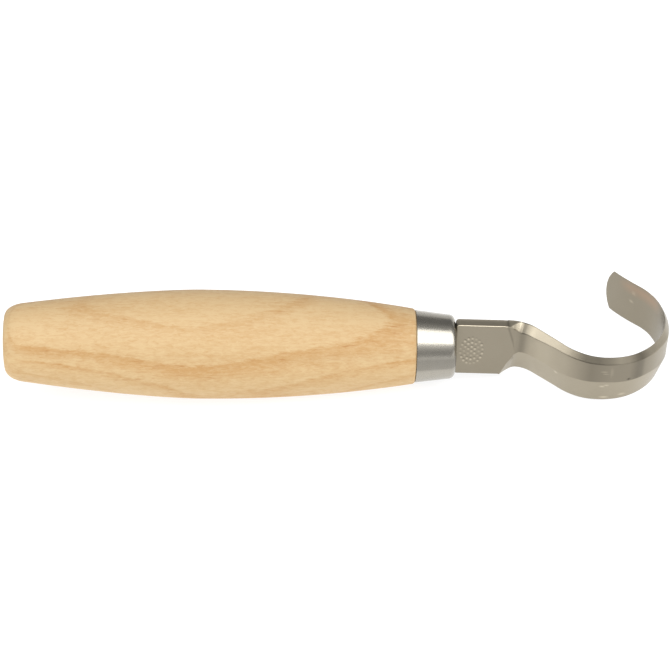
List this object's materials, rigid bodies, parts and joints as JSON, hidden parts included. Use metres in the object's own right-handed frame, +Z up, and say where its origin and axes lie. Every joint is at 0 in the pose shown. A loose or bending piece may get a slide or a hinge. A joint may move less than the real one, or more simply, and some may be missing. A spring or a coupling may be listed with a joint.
{
  "type": "hook knife",
  "caption": "Hook knife for carving hollows: a barrel-shaped wooden handle, a tapered steel ferrule and a flat steel blade that is bent into an open hook with an edge along both sides.",
  "frame": {"origin": "on the surface that the knife lies on, below the middle of its outline", "axes": "+X along the knife, from the butt towards the hook; +Y across it, towards the side that the tip is on; +Z up. The knife lies on the belly of its handle and the lower edge of its hook, so its own axis is pitched 3.2 degrees, hook end down, and rolled 2.4 degrees"},
  "size_m": [0.166, 0.0392, 0.0277],
  "materials": {
    "birch": "sanded pale birch, lightly oiled, satin",
    "ferrule_steel": "fine brushing around the axis, satin",
    "blade_steel": "ground carbon steel with fine grinding lines, satin",
    "adhesive": "cured resin, dull amber"
  },
  "bodies": {
    "root": {"handle": "birch", "ferrule": "ferrule_steel", "blade": "blade_steel", "tang_adhesive": "adhesive"}
  },
  "joints": []
}
